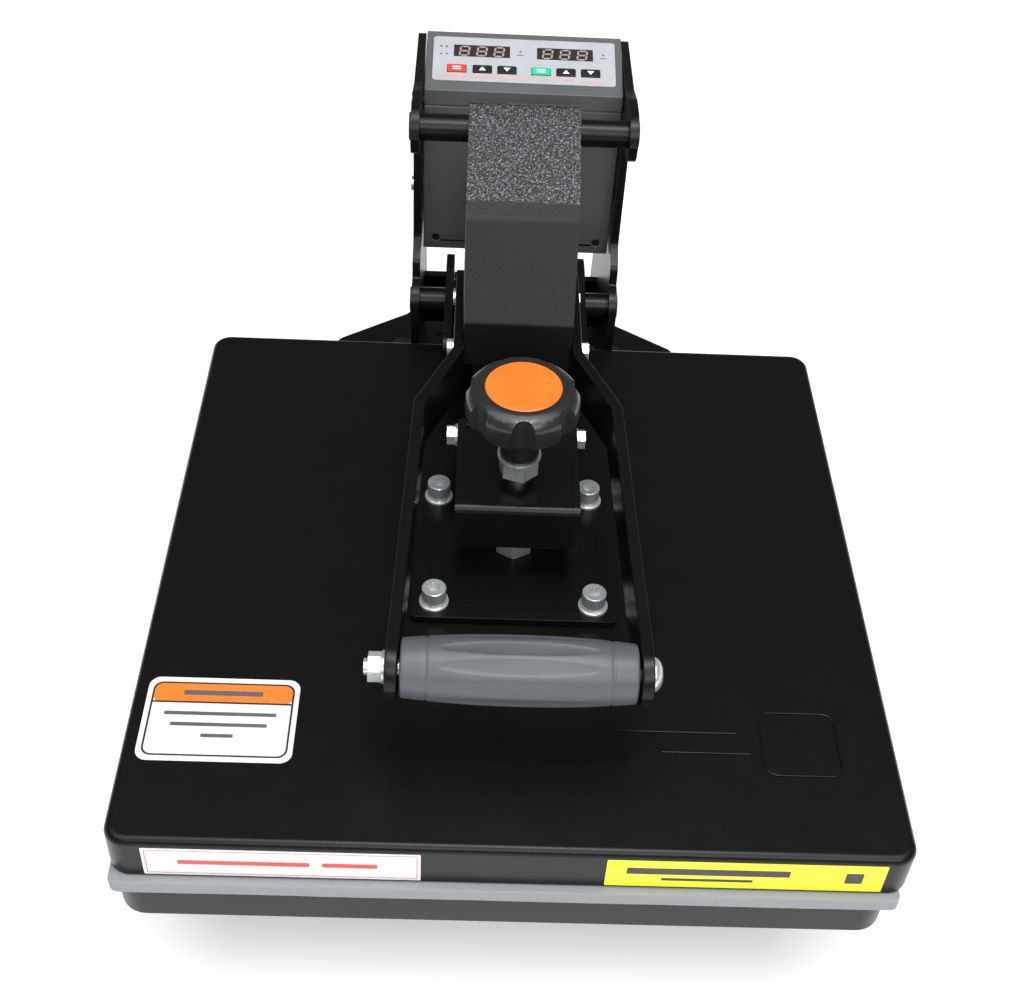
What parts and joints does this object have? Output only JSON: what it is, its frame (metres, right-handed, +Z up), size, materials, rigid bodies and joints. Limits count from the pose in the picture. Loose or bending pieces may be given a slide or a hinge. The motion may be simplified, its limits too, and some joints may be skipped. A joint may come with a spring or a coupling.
{
  "type": "clamshell heat press",
  "caption": "Flat clamshell heat press: square heated platen on a lever and toggle linkage over a padded lower platen, with a pressure knob and rear digital control head.",
  "frame": {"origin": "centre of the footprint on the table, under the rubber feet", "axes": "+Z up, the operator stands on the -Y side, +X to the operator's right"},
  "size_m": [0.385, 0.5934, 0.293],
  "materials": {
    "black_coat": "semi-gloss black powder coat with a fine texture",
    "hammertone": "dark grey hammered powder coat with a bright sparkle",
    "case_coat": "satin dark grey powder coat",
    "zinc": "zinc plated",
    "bright_steel": "turned bright steel",
    "foot_rubber": "moulded black rubber",
    "pad_silicone": "speckled grey silicone sponge",
    "grip_rubber": "smooth grey rubber",
    "black_plastic": "moulded black plastic",
    "black_screw": "blackened steel",
    "label_grey": "light grey polyester overlay",
    "window_dark": "smoked clear plastic",
    "red_key": "red plastic",
    "green_key": "green plastic",
    "board_green": "green laminate",
    "winding": "yellow tape over a laminated core",
    "plate_aluminium": "cast and machined aluminium",
    "wool": "pressed ceramic fibre",
    "orange_cap": "orange plastic disc"
  },
  "bodies": {
    "stand": {"base_plate": "black_coat", "rubber_feet": "foot_rubber", "upright_left": "black_coat", "upright_right": "black_coat", "crossbar": "black_coat", "upper_shaft": "black_coat", "lower_shaft": "black_coat", "frame_bolts": "black_screw", "platen_posts": "black_coat", "post_nuts": "zinc", "lower_platen": "black_coat", "silicone_pad": "pad_silicone", "control_case": "case_coat", "case_rear_panel": "case_coat", "case_bolts": "zinc", "face_screws": "black_screw", "display_panel": "label_grey", "display_windows": "window_dark", "circuit_board": "board_green", "power_relay": "black_plastic", "transformer": "winding", "power_inlet": "black_plastic", "fuse_holder": "black_plastic", "case_gland": "black_plastic", "switch_housing": "black_plastic"},
    "lever": {"upper_arm": "hammertone", "handle_bar_left": "black_coat", "handle_bar_right": "black_coat", "bar_bolts": "zinc", "grip_bolt": "zinc", "grip_nut": "zinc"},
    "grip": {"grip": "grip_rubber"},
    "toggle_link": {"toggle_link": "black_coat", "link_pins": "bright_steel"},
    "heater_arm": {"lower_arm": "black_coat", "arm_cheeks": "black_coat", "pivot_sleeve": "bright_steel", "block_bolts": "zinc"},
    "pressure_screw": {"spindle": "bright_steel", "knob": "black_plastic", "knob_cap": "orange_cap", "top_nut": "zinc", "top_washer": "zinc"},
    "heater": {"mount_plate": "black_coat", "mount_washers": "zinc", "mount_screws": "zinc", "bottom_nut": "zinc", "heater_cover": "black_coat", "heater_plate": "plate_aluminium", "heating_element": "bright_steel", "insulation": "wool", "temperature_probe": "bright_steel", "heater_gland": "black_plastic"},
    "power_switch": {"switch_rocker": "red_key"},
    "button_timer_set": {"button_timer_set": "red_key"},
    "button_timer_up": {"button_timer_up": "black_plastic"},
    "button_timer_down": {"button_timer_down": "black_plastic"},
    "button_temp_set": {"button_temp_set": "green_key"},
    "button_temp_up": {"button_temp_up": "black_plastic"},
    "button_temp_down": {"button_temp_down": "black_plastic"}
  },
  "joints": [
    {"name": "lever_pivot", "type": "hinge", "parent": "stand", "child": "lever", "pos_m": [0, 0.0995, 0.277], "axis": [-1, 0, 0], "range_deg": [0, 36]},
    {"name": "heater_arm_pivot", "type": "hinge", "parent": "stand", "child": "heater_arm", "pos_m": [0, 0.111, 0.145], "axis": [-1, 0, 0], "range_deg": [0, 16.69]},
    {"name": "link_pivot", "type": "hinge", "parent": "lever", "child": "toggle_link", "pos_m": [0, 0.04, 0.203], "axis": [1, 0, 0], "range_deg": [0, 70.23]},
    {"name": "grip_spin", "type": "hinge", "parent": "lever", "child": "grip", "pos_m": [0, -0.229, 0.18], "axis": [1, 0, 0], "continuous": true},
    {"name": "pressure_knob_turn", "type": "hinge", "parent": "heater_arm", "child": "pressure_screw", "pos_m": [0, -0.097, 0.185], "axis": [0, 0, 1], "range_deg": [0, 1028.6]},
    {"name": "heater_height", "type": "slide", "parent": "heater_arm", "child": "heater", "axis": [0, 0, 1], "range_m": [0, 0.005]},
    {"name": "power_switch_tilt", "type": "hinge", "parent": "stand", "child": "power_switch", "pos_m": [-0.0345, 0.1875, 0.1905], "axis": [0, 0, 1], "range_deg": [0, 14]},
    {"name": "button_timer_set_press", "type": "slide", "parent": "stand", "child": "button_timer_set", "axis": [0, 0.2614, -0.9652], "range_m": [0, 0.001], "stiffness_N_per_m": 800},
    {"name": "button_timer_up_press", "type": "slide", "parent": "stand", "child": "button_timer_up", "axis": [0, 0.2614, -0.9652], "range_m": [0, 0.001], "stiffness_N_per_m": 800},
    {"name": "button_timer_down_press", "type": "slide", "parent": "stand", "child": "button_timer_down", "axis": [0, 0.2614, -0.9652], "range_m": [0, 0.001], "stiffness_N_per_m": 800},
    {"name": "button_temp_set_press", "type": "slide", "parent": "stand", "child": "button_temp_set", "axis": [0, 0.2614, -0.9652], "range_m": [0, 0.001], "stiffness_N_per_m": 800},
    {"name": "button_temp_up_press", "type": "slide", "parent": "stand", "child": "button_temp_up", "axis": [0, 0.2614, -0.9652], "range_m": [0, 0.001], "stiffness_N_per_m": 800},
    {"name": "button_temp_down_press", "type": "slide", "parent": "stand", "child": "button_temp_down", "axis": [0, 0.2614, -0.9652], "range_m": [0, 0.001], "stiffness_N_per_m": 800}
  ],
  "couplings": [
    {"joint": "heater_arm_pivot", "follows": "lever_pivot", "ratio": 0.46361},
    {"joint": "link_pivot", "follows": "lever_pivot", "ratio": 1.9508},
    {"joint": "pressure_knob_turn", "follows": "heater_height", "rad_per_m": 3590.4}
  ]
}
